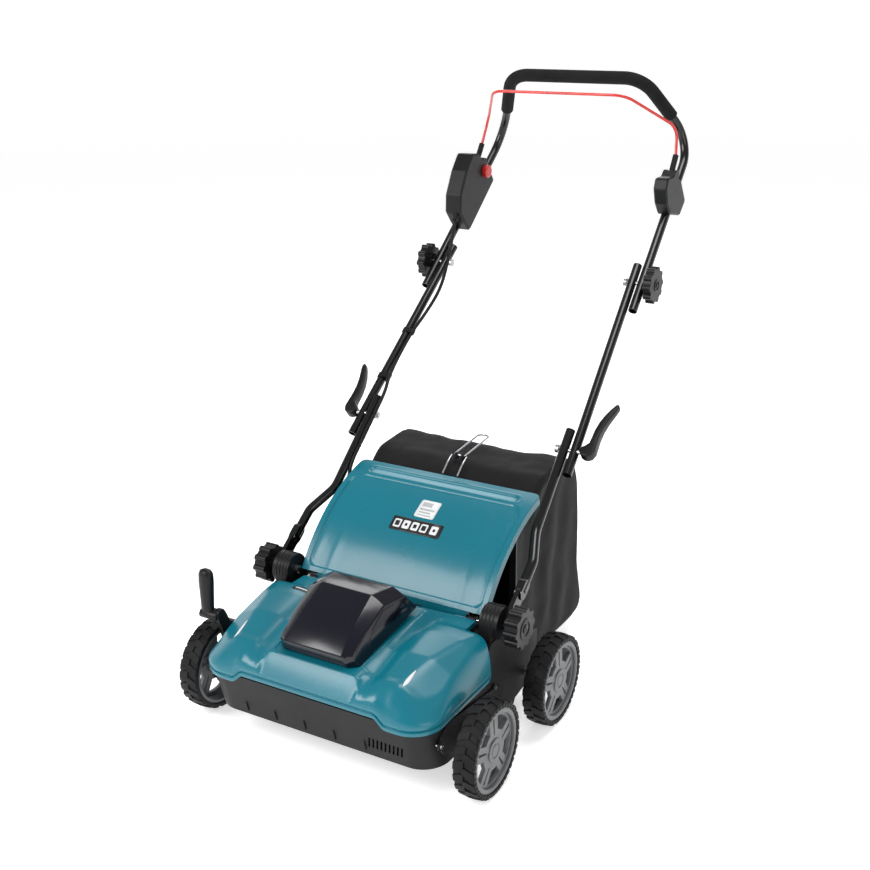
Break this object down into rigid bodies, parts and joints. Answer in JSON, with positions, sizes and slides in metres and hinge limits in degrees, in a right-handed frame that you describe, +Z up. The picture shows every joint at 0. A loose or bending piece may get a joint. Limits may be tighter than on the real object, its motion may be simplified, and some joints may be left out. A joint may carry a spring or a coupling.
{
  "type": "lawn dethatcher",
  "caption": "Battery-powered walk-behind lawn dethatcher with a bladed drum under a moulded hood, rear grass bag and folding tube handle with bail control.",
  "frame": {"origin": "centre of the overall footprint, on the floor", "axes": "+X to the machine's right, -Y to its front, +Y to the handle end, +Z up"},
  "size_m": [0.612, 1.1302, 1.1025],
  "materials": {
    "housing_dark": "fine-grained matte",
    "hood_teal": "glossy moulded",
    "lid_teal": "glossy moulded",
    "cover_navy": "glossy moulded",
    "trim_black": "matte moulded",
    "boss_black": "ribbed matte",
    "bright_steel": "bright turned",
    "zinc_bolt": "zinc plated",
    "blade_steel": "stamped and hardened",
    "motor_can": "satin",
    "pulley_metal": "machined",
    "belt_rubber": "matte",
    "spacer_plastic": "matte",
    "pack_black": "matte moulded",
    "tyre_black": "matte treaded",
    "rim_grey": "satin moulded",
    "tube_black": "glossy powder coat",
    "grip_foam": "matte foam",
    "knob_black": "satin moulded",
    "switch_black": "fine-grained matte",
    "button_red": "glossy moulded",
    "bail_red": "glossy powder coat",
    "cable_sheath": "satin",
    "bag_fabric": "woven matte",
    "frame_black": "matte moulded"
  },
  "bodies": {
    "chassis": {"base_housing": "housing_dark", "hood": "hood_teal", "battery_tray": "trim_black", "battery_packs": "pack_black", "motor": "motor_can", "belt_cover": "housing_dark", "bearing_cover": "housing_dark", "cover_screws": "zinc_bolt", "handle_boss_left": "boss_black", "handle_boss_right": "boss_black", "rear_axle": "bright_steel", "lid_hinge_pin": "bright_steel", "cover_hinge": "trim_black", "drum_bearings": "bright_steel", "drive_belt": "belt_rubber", "tilt_bolts": "zinc_bolt"},
    "drum": {"drum_shaft": "bright_steel", "drum_blades": "blade_steel", "drum_spacers": "spacer_plastic", "drum_pulley": "pulley_metal"},
    "motor_rotor": {"motor_pulley": "pulley_metal"},
    "depth_crank": {"front_axle": "bright_steel", "depth_lever": "trim_black"},
    "wheel_front_left": {"rim_front_left": "rim_grey", "tyre_front_left": "tyre_black"},
    "wheel_front_right": {"rim_front_right": "rim_grey", "tyre_front_right": "tyre_black"},
    "wheel_rear_left": {"rim_rear_left": "rim_grey", "tyre_rear_left": "tyre_black"},
    "wheel_rear_right": {"rim_rear_right": "rim_grey", "tyre_rear_right": "tyre_black"},
    "lid_body": {"lid": "lid_teal"},
    "battery_door": {"battery_cover": "cover_navy"},
    "lower_handle": {"lower_tube_left": "tube_black", "lower_tube_right": "tube_black", "fold_bolts": "zinc_bolt", "cable_lower": "cable_sheath"},
    "middle_handle": {"middle_tube_left": "tube_black", "middle_tube_right": "tube_black", "upper_bolts": "zinc_bolt", "cable_middle": "cable_sheath", "cable_clips": "trim_black"},
    "top_handle": {"upper_handle": "tube_black", "foam_grip": "grip_foam", "switch_case": "switch_black", "switch_cover": "switch_black", "bail_bracket": "switch_black", "cable_upper": "cable_sheath"},
    "bail": {"bail_lever": "bail_red", "bail_ends": "trim_black"},
    "button": {"stop_button": "button_red"},
    "cam_left": {"cam_lever_left": "knob_black"},
    "cam_right": {"cam_lever_right": "knob_black"},
    "knob_tilt_left": {"tilt_knob_left": "knob_black"},
    "knob_tilt_right": {"tilt_knob_right": "knob_black"},
    "knob_top_left": {"upper_knob_left": "knob_black"},
    "knob_top_right": {"upper_knob_right": "knob_black"},
    "collector": {"grass_bag": "bag_fabric", "bag_frame": "frame_black"},
    "collector_wire": {"bag_handle": "bright_steel"}
  },
  "joints": [
    {"name": "drum_spin", "type": "hinge", "parent": "chassis", "child": "drum", "pos_m": [0, -0.3281, 0.08], "axis": [1, 0, 0], "continuous": true},
    {"name": "motor_spin", "type": "hinge", "parent": "chassis", "child": "motor_rotor", "pos_m": [0, -0.4861, 0.108], "axis": [1, 0, 0], "continuous": true},
    {"name": "depth_setting", "type": "hinge", "parent": "chassis", "child": "depth_crank", "pos_m": [0, -0.4281, 0.1], "axis": [1, 0, 0], "range_deg": [-25, 25]},
    {"name": "front_left_roll", "type": "hinge", "parent": "depth_crank", "child": "wheel_front_left", "pos_m": [-0.286, -0.4531, 0.085], "axis": [1, 0, 0], "continuous": true},
    {"name": "front_right_roll", "type": "hinge", "parent": "depth_crank", "child": "wheel_front_right", "pos_m": [0.286, -0.4531, 0.085], "axis": [1, 0, 0], "continuous": true},
    {"name": "rear_left_roll", "type": "hinge", "parent": "chassis", "child": "wheel_rear_left", "pos_m": [-0.286, -0.2011, 0.085], "axis": [1, 0, 0], "continuous": true},
    {"name": "rear_right_roll", "type": "hinge", "parent": "chassis", "child": "wheel_rear_right", "pos_m": [0.286, -0.2011, 0.085], "axis": [1, 0, 0], "continuous": true},
    {"name": "lid_swing", "type": "hinge", "parent": "chassis", "child": "lid_body", "pos_m": [0, -0.2901, 0.217], "axis": [1, 0, 0], "range_deg": [0, 40], "stiffness_Nm_per_rad": 0.4, "springref_deg": -22.92},
    {"name": "battery_door_swing", "type": "hinge", "parent": "chassis", "child": "battery_door", "pos_m": [0, -0.3491, 0.251], "axis": [-1, 0, 0], "range_deg": [0, 70]},
    {"name": "handle_tilt", "type": "hinge", "parent": "chassis", "child": "lower_handle", "pos_m": [0, -0.3011, 0.232], "axis": [1, 0, 0], "range_deg": [-15, 40], "deforming": ["cable_lower"]},
    {"name": "middle_fold", "type": "hinge", "parent": "lower_handle", "child": "middle_handle", "pos_m": [0, -0.0131, 0.4545], "axis": [1, 0, 0], "range_deg": [0, 100], "deforming": ["cable_middle"]},
    {"name": "upper_fold", "type": "hinge", "parent": "middle_handle", "child": "top_handle", "pos_m": [0, 0.2959, 0.7085], "axis": [1, 0, 0], "range_deg": [-100, 45], "deforming": ["cable_upper"]},
    {"name": "bail_pull", "type": "hinge", "parent": "top_handle", "child": "bail", "pos_m": [0, 0.4569, 0.902], "axis": [-1, 0, 0], "range_deg": [0, 20], "stiffness_Nm_per_rad": 0.8, "springref_deg": -28.65},
    {"name": "button_press", "type": "slide", "parent": "top_handle", "child": "button", "axis": [-1, 0, 0], "range_m": [0, 0.005], "stiffness_N_per_m": 400, "springref_m": -0.003},
    {"name": "cam_left_open", "type": "hinge", "parent": "lower_handle", "child": "cam_left", "pos_m": [-0.258, -0.0131, 0.4545], "axis": [0, -0.6115, 0.7912], "range_deg": [0, 100]},
    {"name": "cam_right_open", "type": "hinge", "parent": "lower_handle", "child": "cam_right", "pos_m": [0.258, -0.0131, 0.4545], "axis": [0, 0.6115, -0.7912], "range_deg": [0, 100]},
    {"name": "tilt_knob_left_turn", "type": "hinge", "parent": "chassis", "child": "knob_tilt_left", "pos_m": [-0.265, -0.3011, 0.232], "axis": [1, 0, 0], "continuous": true},
    {"name": "tilt_knob_right_turn", "type": "hinge", "parent": "chassis", "child": "knob_tilt_right", "pos_m": [0.265, -0.3011, 0.232], "axis": [1, 0, 0], "continuous": true},
    {"name": "top_knob_left_turn", "type": "hinge", "parent": "middle_handle", "child": "knob_top_left", "pos_m": [-0.255, 0.2959, 0.7085], "axis": [1, 0, 0], "continuous": true},
    {"name": "top_knob_right_turn", "type": "hinge", "parent": "middle_handle", "child": "knob_top_right", "pos_m": [0.255, 0.2959, 0.7085], "axis": [1, 0, 0], "continuous": true},
    {"name": "collector_pull", "type": "slide", "parent": "chassis", "child": "collector", "axis": [0, 1, 0], "range_m": [0, 0.15]},
    {"name": "collector_wire_swing", "type": "hinge", "parent": "collector", "child": "collector_wire", "pos_m": [0, -0.0291, 0.4096], "axis": [1, 0, 0], "range_deg": [0, 140]}
  ],
  "couplings": [
    {"joint": "motor_spin", "follows": "drum_spin", "ratio": 1.4737}
  ]
}
